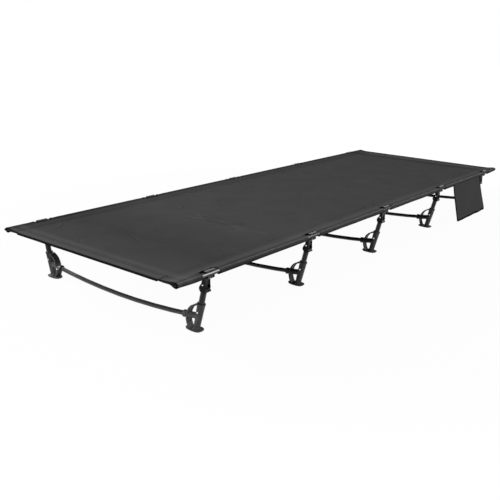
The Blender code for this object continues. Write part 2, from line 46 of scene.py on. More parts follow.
# Bed, in metres
LENGTH = 1.900
RAIL_Y = 0.3223
RAIL_Z = 0.1528
RAIL_R = 0.0060
RAIL_END = 0.9455               # just past the rail's end
LEG_XS = (-0.836, -0.418, 0.0, 0.418, 0.836)
SIDE_NAMES = {1: "left", -1: "right"}
END_NAMES = {-1: "foot", 1: "head"}
CLOTH = 0.0008
RAIL_GAP = 0.0003               # between a rail and the cloth round it
CLOTH_R = RAIL_R + RAIL_GAP + CLOTH / 2     # middle of that cloth
TOP_Z = RAIL_Z + CLOTH_R
SEAM_Y = 0.2720
DIP = 0.0045                    # the deck below the crests of its sleeves
DIP_WIDTH = 0.034               # from the crest inwards, until the dip is full
SEAM_ALLOWANCE = 0.008
UNDER_Z = TOP_Z - CLOTH * 1.05  # lower layer of a sleeve, at its seam
COLUMN_GAP = 0.0045             # least distance of a plain grid column from a marked one
HEM_COLUMN = 0.0015             # a marked column this far in from a hem's inner edge
HEM = 0.0335                    # fold of an end hem, in from the end
HEM_ROWS = (0.0315, 0.0240)     # its two rows of stitches
HEM_ROLL = 0.0022               # radius that rolls the hem over at the end
HEM_DROP = 0.0042               # how far the rolled end reaches down
HEM_PLUMP = 0.00035             # rise of its middle
HEM_DENT = 0.0010               # depth of the dent along a row of its stitches
HEM_DENT_WIDTH = 0.0013
HEM_DARK_ROWS = (3, 14)              # the rows of its profile that a dark strip covers
HEM_PALE = (0.060, 0.048)       # where the painted light on the cloth beside a hem begins and is full
MOUTH_HEM = 0.005               # bound edge of a sleeve's mouth
MOUTH_LEVEL = 0.1550            # where the flattened mouth closes, past the rail's end
MOUTH_SHUT = 0.75               # share of the way that it closes
MOUTH_THICK = 0.0038            # of the closed sleeve beside the rail, at its mouth
SLEEVE_SAG = 0.0026             # loose cloth under a rail

# Heights of the taut cloth's folds
BROAD_FOLD = 0.00080
FINE_FOLD = 0.00034
SLANTED_FOLD = 0.00060
PULL_FOLD = 0.0013              # beside a clamp
PUCKER = 0.00016                # along a sleeve's seam
LIP_FOLD = 0.00030              # at an end

# Notches round the clamps
NOTCH_HALF = 0.0290
NOTCH_TAPER = 0.006             # narrower by this at each side of its inner edge
NOTCH_DEPTH = 0.0168
NOTCH_EDGE = RAIL_Y + CLOTH_R - NOTCH_DEPTH
NOTCH_ROWS = (0.3126, 0.3175)   # the section's rows at its inner edge
NOTCH_UNDER_HALF = 0.0195
NOTCH_UNDER_EDGE = 0.3060
NOTCH_STRIP = (0.0016, 0.0007)   # half its width and thickness

# Rows of stitches on the deck
SEAM_ROWS = (0.0015, 0.0065)    # the two rows of a sleeve, in from its seam
SEAM_MARGIN = 0.002             # between their ends and the deck's
HEM_ROW_HALF = 0.268            # half the length of a hem's rows
TACK_STITCH = {"pitch": 0.0017, "length": 0.0015, "radius": 0.00028}
TACK_BACK = 0.0030              # row behind a notch, in from its inner edge
TACK_REACH = 0.004              # of that row, past the notch's corners
TACK_OUT = 0.0045               # row beside a notch, out from its corner
TACK_FLARE = 0.0035             # of that row, further out at the rail
BAR_TACKS = 3                   # short rows beside each corner of a notch
BAR_TACK_OUT = 0.0105           # the first of them, out from the corner
BAR_TACK_PITCH = 0.0016
BAR_TACK_SPAN = (-0.0005, 0.0075)       # outwards from the notch's inner edge

# Pocket
POCKET_X = (0.513, 0.777)
POCKET_TOP = 0.1528
POCKET_HANG = 0.1335
POCKET_Y = 0.3302
POCKET_STAND = 0.0009           # its middle lies outboard of POCKET_Y
POCKET_LEAN = 0.0300            # its bottom hangs outboard of its top
POCKET_NARROW = 0.014           # its mouth is narrower at the head side
POCKET_FRONT = (0.0007, 0.0026) # front panel out from the middle: at its rim, and more at its belly
POCKET_BACK = (0.0003, 0.0012)  # back panel in from the middle, in the same way
POCKET_START = {"back": 0.0, "front": 0.02}     # a panel's top, as a share of the drop
POCKET_FOLD = 0.0009            # height of the front panel's folds
POCKET_SWAY = 0.0011            # how far its lower part wavers in and out
POCKET_WAVE = 0.0018            # how far its bottom edge wavers up and down
POCKET_PINCH = 0.0020           # how far its sides are drawn in, halfway down
POCKET_ROWS = 0.026             # rows of stitches, in from its rim, as a share
POCKET_MOUTH_ROW = 0.09         # row under its mouth, as a share of the drop
POCKET_CLOTH = 0.0008
POCKET_BINDING = (0.0040, 0.0013)       # half its width and thickness
POCKET_LIP = (0.0022, 0.0008)

# Rivets
FOOT_RIVET_Y = 0.2918
FOOT_RIVET_Z = 0.0500
FOOT_RIVET_R = 0.0026
FOOT_RIVET_RISE = 0.0012
FOOT_SOCKET_HALF = 0.0091

# Edges of the mouldings
SOFT_EDGE = 0.0005
SOFT_ANGLE = math.radians(34)

# Camera fitted to the photograph's frame of 500 by 500
CAMERA_AT = Vector((-1.91925912, -1.30619247, 0.67305594))
CAMERA_AZIMUTH = math.radians(38.68665801)
CAMERA_ELEVATION = math.radians(-17.55917755)
CAMERA_ROLL = math.radians(1.23507353)
FOCAL_PX = 679.371
FRAME_PX = 500
SENSOR_MM = 36

# Studio
WORLD_LIGHT = 0.07
FLOOR_SIZE = 30
FLOOR_Z = -0.0002
FLOOR_FADE = (1.2, 3.0)
FLOOR_TONE = 0.25
FLOOR_SHARE = 0.86              # of its plain white, close to the bed
# Lamps: place, point aimed at, size in metres, watts
LAMPS = {
    "key": ((-2.4, 5.8, 2.9), (-0.3, 0.0, 0.15), (2.8, 2.8), 430),
    "end_fill": ((-2.7, -0.3, 1.60), (-0.9, -0.1, 0.08), (1.6, 0.5), 23),
    "near_fill": ((0.8, -3.6, 0.80), (0.0, 0.0, 0.10), (2.4, 0.7), 34),
    "side_strip": ((3.0, -2.4, 1.4), (0.0, 0.0, 0.15), (4.2, 0.35), 40),
}


# Node helpers

class Graph:
    """Short calls for building one node tree."""

    def __init__(self, tree):
        self.tree = tree
        tree.nodes.clear()

    def add(self, kind, **settings):
        node = self.tree.nodes.new(kind)
        for name, value in settings.items():
            setattr(node, name, value)
        return node

    def feed(self, node, socket, value):
        """Link or set one input."""
        target = node.inputs[socket]
        if isinstance(value, bpy.types.NodeSocket):
            self.tree.links.new(value, target)
        else:
            target.default_value = value
        return node

    def math(self, operation, a, b=0.0, clamp=False):
        node = self.add("ShaderNodeMath", operation=operation, use_clamp=clamp)
        self.feed(node, 0, a)
        self.feed(node, 1, b)
        return node.outputs[0]

    def noise(self, vector, scale, detail=2.0, rough=0.5, stretch=None):
        if stretch:
            mapping = self.add("ShaderNodeMapping")
            self.feed(mapping, "Vector", vector)
            self.feed(mapping, "Scale", stretch)
            vector = mapping.outputs[0]
        node = self.add("ShaderNodeTexNoise")
        self.feed(node, "Vector", vector)
        self.feed(node, "Scale", scale)
        self.feed(node, "Detail", detail)
        self.feed(node, "Roughness", rough)
        return node.outputs["Fac"]

    def wave(self, vector, scale, axis, distortion=0.0):
        node = self.add("ShaderNodeTexWave", wave_type="BANDS", bands_direction=axis,
                        wave_profile="SIN")
        self.feed(node, "Vector", vector)
        self.feed(node, "Scale", scale)
        self.feed(node, "Distortion", distortion)
        return node.outputs["Fac"]

    def remap(self, value, low, high, to_low, to_high):
        node = self.add("ShaderNodeMapRange")
        for socket, given in zip(("Value", "From Min", "From Max", "To Min", "To Max"),
                                 (value, low, high, to_low, to_high)):
            self.feed(node, socket, given)
        return node.outputs[0]

    def mix(self, factor, first, second):
        node = self.add("ShaderNodeMix", data_type="RGBA")
        self.feed(node, 0, factor)
        self.feed(node, 6, first)
        self.feed(node, 7, second)
        return node.outputs[2]

    def bump(self, height, strength, distance, after=None):
        node = self.add("ShaderNodeBump")
        self.feed(node, "Height", height)
        self.feed(node, "Strength", strength)
        self.feed(node, "Distance", distance)
        if after:
            self.feed(node, "Normal", after)
        return node.outputs[0]


def surface(name, **fixed):
    """New material with its Principled shader, whose fixed values are set on its own sockets."""
    made = bpy.data.materials.new(name)
    made.use_nodes = True
    graph = Graph(made.node_tree)
    shader = graph.add("ShaderNodeBsdfPrincipled")
    out = graph.add("ShaderNodeOutputMaterial")
    graph.tree.links.new(shader.outputs[0], out.inputs["Surface"])
    for socket, value in fixed.items():
        shader.inputs[socket.replace("_", " ")].default_value = value
    return made, graph, shader


def grey(level, warm=0.0):
    """Grey of a linear level, a little warmer or cooler if asked."""
    return (level * (1 + warm), level, level * (1 - warm), 1.0)


# Materials

WEAVE_PITCH = 0.00055
CLOTH_GLOSS = 0.0
HEM_PAINTED_LIGHT = 0.20                 # painted light on the cloth at the hems
CREASE_WIDTH = 0.014            # of a fold, in the noise it is drawn from
CREASE_SHADE = 0.12
LEAST_SHARE = 0.10              # of the cloth's tone, where several shades meet
LIT_TOP_FACING = (0.80, 0.96)       # a normal's rise where a moulding's painted highlight on its top begins and is full
# Painted lines, light and shade on the deck: place in the flat cut, half width, change of tone
BOTH_SIDES = ((RAIL_Y + 0.0005, 0.0024, -0.40),     # line on the crest
              (RAIL_Y + 0.0185, 0.0090, -0.60))     # painted shade under the sleeve
POCKET_SIDE = ((RAIL_Y + 0.0045, 0.0040, 1.20),     # painted highlight beside the crest
               (RAIL_Y - 0.0200, 0.0220, 0.24))     # painted light on the sleeve's top
FAR_SIDE = ((RAIL_Y - 0.0380, 0.0140, -0.22),       # painted shade of a crease along the sleeve, near its seam
            (RAIL_Y - 0.0020, 0.0180, -0.55))       # shaded crest
ENDS = ((LENGTH / 2, 0.0320, -0.80),                # painted shade of the head end's fold
        (LENGTH / 2 - 0.0850, 0.0240, -0.32),       # painted shade of a crease beside it
        (0.200 - LENGTH / 2, 0.2500, -0.24))        # broad shade near the foot end
HEM_ROW_SHADE = (0.0022, -0.60)                        # painted shade in the groove of each sewn row: half width, change


def painted_fold_light_and_shade(graph, coords):
    """Painted light and shade of thin folds across the bed, from -1 on a fold's shaded side to 1 on its
    lit side.
    """
    field = graph.noise(coords, 13, 1, 0.4, (1.0, 0.16, 1.0))
    place = graph.remap(field, 0.5 - CREASE_WIDTH, 0.5 + CREASE_WIDTH, -1.0, 1.0)
    slope = graph.math("SUBTRACT", 1.0, graph.math("ABSOLUTE", place))
    fold = graph.math("MULTIPLY", graph.math("MULTIPLY", place, slope), 4.0)
    where = graph.remap(graph.noise(coords, 5, 2, 0.5, (1.0, 0.6, 1.0)), 0.42, 0.56, 0.0, 1.0)
    return graph.math("MULTIPLY", fold, where)


def deck_painted_light_and_shade(graph, coords):
    """Share of the cloth's tone: painted light at the hems, crests and sleeve tops, painted shade in
    folds, grooves, under the sleeves and near the ends.
    """
    place = graph.add("ShaderNodeSeparateXYZ")
    graph.feed(place, 0, coords)
    along = graph.math("ABSOLUTE", place.outputs["X"])
    across = graph.math("ABSOLUTE", place.outputs["Y"])
    pocket_side = graph.math("MULTIPLY", place.outputs["Y"], -1.0)
    pale = [LENGTH / 2 - inset for inset in HEM_PALE]
    # painted light on the cloth beside the hems
    share = graph.remap(along, *pale, 1.0, 1.0 + HEM_PAINTED_LIGHT)
    lines = [(across, *line) for line in BOTH_SIDES]
    lines += [(pocket_side, *line) for line in POCKET_SIDE]
    lines += [(place.outputs["Y"], *line) for line in FAR_SIDE]
    lines += [(place.outputs["X"], *line) for line in ENDS]
    lines += [(along, LENGTH / 2 - row, *HEM_ROW_SHADE) for row in HEM_ROWS]
    for distance, centre, width, change in lines:
        off = graph.math("ABSOLUTE", graph.math("SUBTRACT", distance, centre))
        share = graph.math("ADD", share, graph.remap(off, 0.0, width, change, 0.0))
    # painted light and shade of thin folds
    share = graph.math("ADD", share, graph.math("MULTIPLY", painted_fold_light_and_shade(graph, coords), CREASE_SHADE))
    return graph.math("MAXIMUM", share, LEAST_SHARE)


def cloth_material(name, base, sheen, flat_map, paint_deck_light_and_shade=False):
    """Plain-woven coated cloth. flat_map names the UV map that holds the flat cut in metres."""
    made, graph, shader = surface(name, Sheen_Weight=sheen, Sheen_Roughness=0.5,
                                  Specular_IOR_Level=CLOTH_GLOSS)
    if flat_map:
        coords = graph.add("ShaderNodeUVMap", uv_map=flat_map).outputs[0]
    else:
        coords = graph.add("ShaderNodeTexCoord").outputs["Object"]
    bands = math.tau / WEAVE_PITCH / 20
    warp = graph.wave(coords, bands, "X", 0.6)
    weft = graph.wave(coords, bands, "Y", 0.6)
    weave = graph.math("MULTIPLY", warp, weft)
    slub = graph.noise(coords, 900, 2, 0.6, (1.0, 0.12, 1.0))
    patch = graph.noise(coords, 9, 4, 0.6)
    fine = graph.noise(coords, 160, 3, 0.6)
    tone = graph.math("ADD", graph.math("MULTIPLY", patch, 0.55), graph.math("MULTIPLY", fine, 0.45))
    worn = graph.remap(tone, 0.30, 0.70, 0.0, 1.0)
    colour = graph.mix(worn, grey(base * 0.86), grey(base * 1.14, 0.006))
    thread = graph.remap(weave, 0.0, 0.6, 0.0, 0.35)
    colour = graph.mix(thread, colour, grey(base * 1.6))
    # painted light and shade on the deck's cloth
    if paint_deck_light_and_shade:
        lit = graph.add("ShaderNodeVectorMath", operation="SCALE")
        graph.feed(lit, 0, colour)
        graph.feed(lit, "Scale", deck_painted_light_and_shade(graph, coords))
        colour = lit.outputs[0]
    graph.feed(shader, "Base Color", colour)
    graph.feed(shader, "Roughness", graph.remap(fine, 0.3, 0.7, 0.46, 0.60))
    threads = graph.math("ADD", graph.math("MULTIPLY", weave, 0.7), graph.math("MULTIPLY", slub, 0.3))
    low = graph.bump(graph.noise(coords, 26, 3, 0.55, (1.0, 0.35, 1.0)), 0.35, 0.0015)
    graph.feed(shader, "Normal", graph.bump(threads, 0.45, 0.00012, low))
    return made


def tube_material(name, base, metallic, rough):
    """Black anodised aluminium, drawn along its length."""
    made, graph, shader = surface(name, Metallic=metallic, Coat_Weight=0.10,
                                  Coat_Roughness=0.14, Specular_Tint=(0.3, 0.3, 0.3, 1.0))
    coords = graph.add("ShaderNodeTexCoord").outputs["Object"]
    drawn = graph.noise(coords, 60, 4, 0.65)
    dust = graph.noise(coords, 700, 2, 0.5)
    tone = graph.remap(drawn, 0.35, 0.65, 0.0, 1.0)
    graph.feed(shader, "Base Color", graph.mix(tone, grey(base * 0.85, -0.01), grey(base * 1.15, -0.01)))
    worn = graph.math("ADD", graph.remap(drawn, 0.3, 0.7, rough - 0.04, rough + 0.04),
                      graph.math("MULTIPLY", dust, 0.06))
    graph.feed(shader, "Roughness", worn)
    graph.feed(shader, "Normal", graph.bump(dust, 0.06, 0.00005))
    return made


def moulding_material(name, base, gloss, top=None):
    """Dark glass-filled nylon: fine spark texture, rubbed edges and, if top is given, a painted highlight
    on its upward-facing faces.
    """
    made, graph, shader = surface(name, Specular_IOR_Level=gloss)
    coords = graph.add("ShaderNodeTexCoord").outputs["Object"]
    grain = graph.noise(coords, 1500, 3, 0.6)
    flow = graph.noise(coords, 45, 4, 0.6)
    edge = graph.add("ShaderNodeNewGeometry").outputs["Pointiness"]
    rubbed = graph.remap(edge, 0.52, 0.60, 0.0, 1.0)
    rubbed = graph.math("MULTIPLY", rubbed, graph.remap(flow, 0.40, 0.62, 0.2, 1.0), True)
    tone = graph.mix(graph.remap(flow, 0.3, 0.7, 0.0, 1.0), grey(base * 0.85), grey(base * 1.15))
    tone = graph.mix(rubbed, tone, grey(base * 1.8))
    # painted highlight on the upward-facing faces, where top is given
    if top:
        normal = graph.add("ShaderNodeNewGeometry").outputs["Normal"]
        parts = graph.add("ShaderNodeSeparateXYZ")
        graph.feed(parts, 0, normal)
        painted_top_light = graph.remap(parts.outputs["Z"], *LIT_TOP_FACING, 0.0, 1.0)
        tone = graph.mix(painted_top_light, tone, grey(top))
    graph.feed(shader, "Base Color", tone)
    graph.feed(shader, "Roughness", graph.remap(flow, 0.3, 0.7, 0.24, 0.36))
    graph.feed(shader, "Normal", graph.bump(grain, 0.30, 0.00008))
    return made


def rivet_material():
    """Bright headed aluminium with fine turning marks."""
    made, graph, shader = surface("bright_aluminium", Metallic=1.0)
    coords = graph.add("ShaderNodeTexCoord").outputs["Object"]
    marks = graph.noise(coords, 900, 3, 0.6)
    graph.feed(shader, "Base Color", graph.mix(marks, grey(0.62), grey(0.86)))
    graph.feed(shader, "Roughness", graph.remap(marks, 0.3, 0.7, 0.16, 0.34))
    return made


def thread_material(name, base):
    """Twisted sewing thread."""
    made, graph, shader = surface(name, Sheen_Weight=0.2, Roughness=0.7)
    coords = graph.add("ShaderNodeTexCoord").outputs["Object"]
    twist = graph.wave(coords, 2400, "DIAGONAL", 1.5)
    graph.feed(shader, "Base Color", graph.mix(twist, grey(base * 0.7), grey(base * 1.3)))
    graph.feed(shader, "Normal", graph.bump(twist, 0.4, 0.00008))
    return made


DECK_CLOTH = cloth_material("deck_cloth", 0.082, 0.003, "flat", True)
POCKET_CLOTH_LOOK = cloth_material("pocket_cloth", 0.078, 0.003, "flat")
BINDING_LOOK = cloth_material("binding_tape", 0.012, 0.003, None)
TUBE_LOOK = tube_material("matt_anodised", 0.046, 0.0, 0.25)
RAIL_LOOK = tube_material("bright_anodised", 0.080, 0.9, 0.14)
FOOT_LOOK = moulding_material("dark_grey_nylon", 0.086, 0.12)
CLAMP_LOOK = moulding_material("black_nylon", 0.008, 0.10)
# its last value is the tone of the painted highlight on the hook's tops
HOOK_LOOK = moulding_material("satin_black_nylon", 0.004, 0.20, 0.14)
RIVET_LOOK = rivet_material()
THREAD_LOOK = thread_material("seam_thread", 0.014)
TACK_LOOK = thread_material("tack_thread", 0.012)


# Pieces

def new_piece(name, mesh, look, body):
    """Piece in the row frame that rides on a body."""
    made = bpy.data.objects.new(name, mesh)
    bpy.context.scene.collection.objects.link(made)
    made.data.materials.append(look)
    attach(made, body)
    return made


def finished_mesh(name, bm):
    mesh = bpy.data.meshes.new(name)
    bm.to_mesh(mesh)
    bm.free()
    return mesh


def bridge(bm, rings):
    """Faces between closed rings of vertices, each ring with the next."""
    for low, high in zip(rings, rings[1:]):
        count = len(low)
        for k in range(count):
            bm.faces.new((low[k], low[(k + 1) % count], high[(k + 1) % count], high[k]))


def grid_mesh(name, points, flat=None, skip=None):
    """Mesh over a grid of points [row][column], with the flat cut as its UV map."""
    rows, columns = len(points), len(points[0])
    bm = bmesh.new()
    verts = [[bm.verts.new(point) for point in row] for row in points]
    uv = bm.loops.layers.uv.new("flat") if flat is not None else None
    for i in range(rows - 1):
        for j in range(columns - 1):
            if skip and skip(i, j):
                continue
            corners = ((i, j), (i, j + 1), (i + 1, j + 1), (i + 1, j))
            face = bm.faces.new([verts[a][b] for a, b in corners])
            face.smooth = True
            if uv:
                for loop, (a, b) in zip(face.loops, corners):
                    loop[uv].uv = flat[a][b]
    bmesh.ops.delete(bm, geom=[v for v in bm.verts if not v.link_faces], context="VERTS")
    return finished_mesh(name, bm)


def smooth_step(value, low, high):
    """0 up to low, 1 from high, and a smooth rise between them."""
    t = min(1.0, max(0.0, (value - low) / (high - low)))
    return t * t * (3 - 2 * t)


def thicken(piece, thickness):
    """Give a sheet its thickness, half to each side, and apply it."""
    solid = piece.modifiers.new("thickness", "SOLIDIFY")
    solid.thickness = thickness
    solid.offset = 0
    solid.use_even_offset = True
    apply_modifiers(piece)


def apply_modifiers(piece):
    """Give a piece the mesh that its modifiers make, and remove them."""
    graph = bpy.context.evaluated_depsgraph_get()
    mesh = bpy.data.meshes.new_from_object(piece.evaluated_get(graph))
    old = piece.data
    piece.modifiers.clear()
    piece.data = mesh
    bpy.data.meshes.remove(old)


def deck_section():
    """Half of the deck's section, from its middle outwards: (distance along the cloth, y, z, part)."""
    points = []
    for y in np.concatenate([np.linspace(0.0, SEAM_Y - SEAM_ALLOWANCE, 34),
                             np.linspace(SEAM_Y, NOTCH_ROWS[0], 8), [NOTCH_ROWS[1], RAIL_Y]]):
        points.append((y, TOP_Z, "top"))
    seam = Vector((SEAM_Y - RAIL_Y, TOP_Z - CLOTH - RAIL_Z))
    leave = math.atan2(seam.y, seam.x) + math.acos(CLOTH_R / seam.length) - math.tau
    for angle in np.linspace(math.pi / 2, leave, 14)[1:]:
        points.append((RAIL_Y + CLOTH_R * math.cos(angle), RAIL_Z + CLOTH_R * math.sin(angle), "wrap"))
    start = Vector(points[-1][:2])
    end = Vector((SEAM_Y, UNDER_Z))
    for t in np.linspace(0, 1, 9)[1:]:
        point = start.lerp(end, t)
        points.append((point.x, point.y, "under"))
    points.append((SEAM_Y - SEAM_ALLOWANCE, UNDER_Z, "under"))
    out, run = [], 0.0
    for i, (y, z, part) in enumerate(points):
        if i:
            run += math.dist(points[i - 1][:2], (y, z))
        out.append((run, y, z, part))
    return out


def deck_columns():
    """Places of the grid's columns along the bed, close together round the notches and hems."""
    xs = set(np.round(np.linspace(-LENGTH / 2, LENGTH / 2, 161), 5))
    marks = [-LENGTH / 2, LENGTH / 2]
    for x in LEG_XS:
        marks += [x - NOTCH_HALF, x + NOTCH_HALF, x - NOTCH_UNDER_HALF, x + NOTCH_UNDER_HALF]
    for end in (-1, 1):
        marks += [end * (LENGTH / 2 - HEM), end * (LENGTH / 2 - HEM - HEM_COLUMN),
                  end * (LENGTH / 2 - COLUMN_GAP)]
    kept = [x for x in xs if all(abs(x - m) > COLUMN_GAP for m in marks)]
    return sorted(kept + marks)


def wrinkle(x, y):
    """Height of the taut cloth's faint folds."""
    inside = smooth_step(RAIL_Y - abs(y), 0.0, 0.060)
    ends = smooth_step(LENGTH / 2 - abs(x), 0.0, 0.10)
    across = noise.noise(Vector((x * 11.0, y * 1.7, 3.1))) * BROAD_FOLD
    across += noise.noise(Vector((x * 27.0, y * 2.6, 9.4))) * FINE_FOLD
    across += noise.noise(Vector((x * 6.0 + y * 9.0, y * 3.0 - x * 2.0, 21.0))) * SLANTED_FOLD
    pull = 0.0
    for leg in LEG_XS:
        near = math.exp(-((x - leg) / 0.052) ** 2)
        edge = math.exp(-(RAIL_Y - abs(y)) / 0.032)
        pull += near * edge * PULL_FOLD * math.sin((x - leg) * 210 + 2.0 * math.copysign(1, y))
    pucker = PUCKER * math.sin(x * 330 + 3 * noise.noise(Vector((x * 9, y * 3, 0))))
    pucker *= math.exp(-abs(abs(y) - SEAM_Y) / 0.010)
    lip = LIP_FOLD * math.exp(-((LENGTH / 2 - abs(x)) / 0.012) ** 2) * noise.noise(Vector((y * 14, x, 5)))
    sink = (RAIL_Y - abs(y)) / DIP_WIDTH
    dip = DIP * (0.8 * min(1.0, max(0.0, sink)) + 0.2 * smooth_step(sink, 0.0, 1.0))
    return inside * (0.35 + 0.65 * ends) * across + pull * 0.8 + pucker + lip - dip


def deck_point(x, run, y, z, part):
    """Point of the deck's cloth, from a point of its section. Past a rail's end the sleeve closes."""
    point = sleeved_point(x, run, y, z, part)
    if abs(y) < SEAM_Y:
        return point
    shut = MOUTH_SHUT * min(1.0, max(0.0, (abs(x) - RAIL_END) / (LENGTH / 2 - RAIL_END)))
    return (point[0], point[1], point[2] + shut * (MOUTH_LEVEL - point[2]))


def sleeved_point(x, run, y, z, part):
    """Point of the deck's cloth over, round or under a rail of any length."""
    if part == "top":
        rolled = smooth_step(SEAM_Y - abs(y), 0.0, 0.003)
        rolled *= smooth_step(abs(x), LENGTH / 2 - 0.002, LENGTH / 2)
        return (x - math.copysign(HEM_ROLL, x) * rolled, y, z + wrinkle(x, y))
    if part == "wrap":
        angle = math.atan2(abs(y) - RAIL_Y, z - RAIL_Z)
        loose = smooth_step(angle, math.radians(50), math.radians(125)) + (angle < -1.5)
        loose *= SLEEVE_SAG * (0.85 + 0.4 * noise.noise(Vector((x * 9, math.copysign(3, y), 2))))
        loose *= smooth_step(LENGTH / 2 - abs(x), 0.004, 0.060)
        top = smooth_step(math.cos(angle), 0.80, 1.0)
        return (x, y, z - loose + top * wrinkle(x, y))
    out = abs(y)
    sway = 0.0006 * noise.noise(Vector((x * 9, run * 12, 8)))
    free = smooth_step(out, SEAM_Y, SEAM_Y + 0.02) * smooth_step(RAIL_Y - out, 0, 0.02)
    sag = SLEEVE_SAG * 0.8 * smooth_step(out, RAIL_Y - 0.03, RAIL_Y)
    sway -= sag * smooth_step(LENGTH / 2 - abs(x), 0.004, 0.06)
    follow = smooth_step(RAIL_Y - out, 0.015, RAIL_Y - SEAM_Y) * wrinkle(x, SEAM_Y)
    shut = smooth_step(abs(x), LENGTH / 2 - 0.050, LENGTH / 2 - 0.012) * (out < RAIL_Y - 0.0085)
    level = TOP_Z - MOUTH_THICK + wrinkle(x, y)
    loose_z = z + sway * max(free, out > RAIL_Y - 0.02) + follow
    return (x, y, loose_z + shut * max(0.0, level - loose_z))


def make_deck():
    """Sleeved deck: one cloth from seam to seam, notched round each clamp."""
    half = deck_section()
    section = [(-s, -y, z, part) for s, y, z, part in half[:0:-1]] + half
    columns = deck_columns()
    edge_run = next(s for s, y, z, part in half if part == "wrap" and y >= RAIL_Y + CLOTH_R * 0.96)
    points, flat = [], []
    for run, y, z, part in section:
        row, cut = [], []
        for x in columns:
            px = x
            for leg in LEG_XS:
                if part != "under" and abs(abs(x - leg) - NOTCH_HALF) < 1e-6:
                    lean = smooth_step(edge_run - abs(run), 0.002, 0.018)
                    px = leg + math.copysign(NOTCH_HALF - NOTCH_TAPER * lean, x - leg)
            row.append(deck_point(px, run, y, z, part))
            cut.append((px, run))
        points.append(row)
        flat.append(cut)

    def cut_away(i, j):
        x = (columns[j] + columns[j + 1]) / 2
        y = (abs(section[i][1]) + abs(section[i + 1][1])) / 2
        parts = {section[i][3], section[i + 1][3]}
        reach = min(abs(x - leg) for leg in LEG_XS)
        if "under" in parts and "wrap" not in parts:
            return reach < NOTCH_UNDER_HALF and y > NOTCH_UNDER_EDGE
        if parts == {"top"}:
            return reach < NOTCH_HALF and y > NOTCH_EDGE
        return reach < NOTCH_HALF

    piece = new_piece("deck_cloth_sheet", grid_mesh("deck_cloth_sheet", points, flat, cut_away),
                      DECK_CLOTH, BED)
    thicken(piece, CLOTH)
    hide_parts("deck")
    width = 2 * half[-1][0]
    return piece, width


def offset_rows(rows, distance):
    """Rows of points moved square to the run of each column, in its upright plane along the bed."""
    moved = []
    for i, row in enumerate(rows):
        before, after = rows[max(i - 1, 0)], rows[min(i + 1, len(rows) - 1)]
        line = []
        for a, point, b in zip(before, row, after):
            along = Vector((b[0] - a[0], 0, b[2] - a[2])).normalized()
            line.append(Vector(point) + Vector((along.z, 0, -along.x)) * distance)
        moved.append(line)
    return moved


def make_hem(end):
    """Folded hem at one end, from sleeve seam to sleeve seam."""
    inner, outer = LENGTH / 2 - HEM, LENGTH / 2
    rise = CLOTH * 1.05
    profile = [(inner, -rise), (inner + 0.012, -rise), (outer - 0.010, -rise * 1.6)]
    for angle in np.linspace(-115, 90, 11):
        tilt = math.radians(angle)
        profile.append((outer - HEM_ROLL + HEM_ROLL * math.cos(tilt),
                        (rise - HEM_DROP) / 2 + (rise + HEM_DROP) / 2 * math.sin(tilt)))
    for x in np.linspace(outer - HEM_ROLL - 0.001, inner, 26):
        dent = sum(math.exp(-((x - (outer - row)) / HEM_DENT_WIDTH) ** 2) for row in HEM_ROWS)
        plump = HEM_PLUMP * math.sin(math.pi * (x - inner) / HEM)
        profile.append((x, rise + plump - HEM_DENT * dent))
    ys = np.linspace(-(SEAM_Y - 0.001), SEAM_Y - 0.001, 150)
    points, flat = [], []
    for x, dz in profile:
        row = []
        for y in ys:
            wave = 0.00025 * noise.noise(Vector((y * 38, x * 8, 4 + end)))
            ripple = 0.00022 * noise.noise(Vector((y * 90, x * 60, 12 + end))) * (dz > 0)
            fade = smooth_step(SEAM_Y - abs(y), 0.0005, 0.004)
            drop = dz if dz > -rise else -rise + (dz + rise) * fade
            row.append((end * (x + wave), y, TOP_Z + drop + ripple + wrinkle(end * min(x, outer), y)))
        points.append(row)
        flat.append([(end * x, y) for y in ys])
    name = END_NAMES[end]
    piece = new_piece(f"hem_{name}", grid_mesh("hem", points, flat), DECK_CLOTH, BED)
    thicken(piece, CLOTH * 0.75)
    # dark strip over the rolled edge's rows
    covered = slice(*HEM_DARK_ROWS)
    outside = offset_rows(points, end * CLOTH * 0.70)[covered]
    dark_cover = new_piece(f"hem_dark_strip_{name}", grid_mesh("hem_dark_strip", outside, flat[covered]),
                     BINDING_LOOK, BED)
    thicken(dark_cover, CLOTH * 0.5)
    return [piece, dark_cover]


def make_mouth_hem(end, side):
    """Tape bound round a sleeve's mouth."""
    places = [spot for spot in deck_section() if spot[1] >= SEAM_Y]
    grow = CLOTH * 0.9
    points, flat = [], []
    for run, y, z, part in places:
        row = []
        for x in np.linspace(LENGTH / 2 - MOUTH_HEM, LENGTH / 2 + 0.0003, 7):
            px, py, pz = deck_point(end * min(x, LENGTH / 2), run, side * y, z, part)
            if part == "wrap":
                away = Vector((y - RAIL_Y, z - RAIL_Z)).normalized() * grow
            else:
                away = Vector((0, grow if part == "top" else -grow))
            row.append((end * x, py + side * away.x, pz + away.y))
        points.append(row)
        flat.append([(point[0], side * run) for point in row])
    name = f"mouth_hem_{END_NAMES[end]}_{SIDE_NAMES[side]}"
    piece = new_piece(name, grid_mesh(name, points, flat), BINDING_LOOK, BED)
    thicken(piece, CLOTH * 0.7)
    return piece


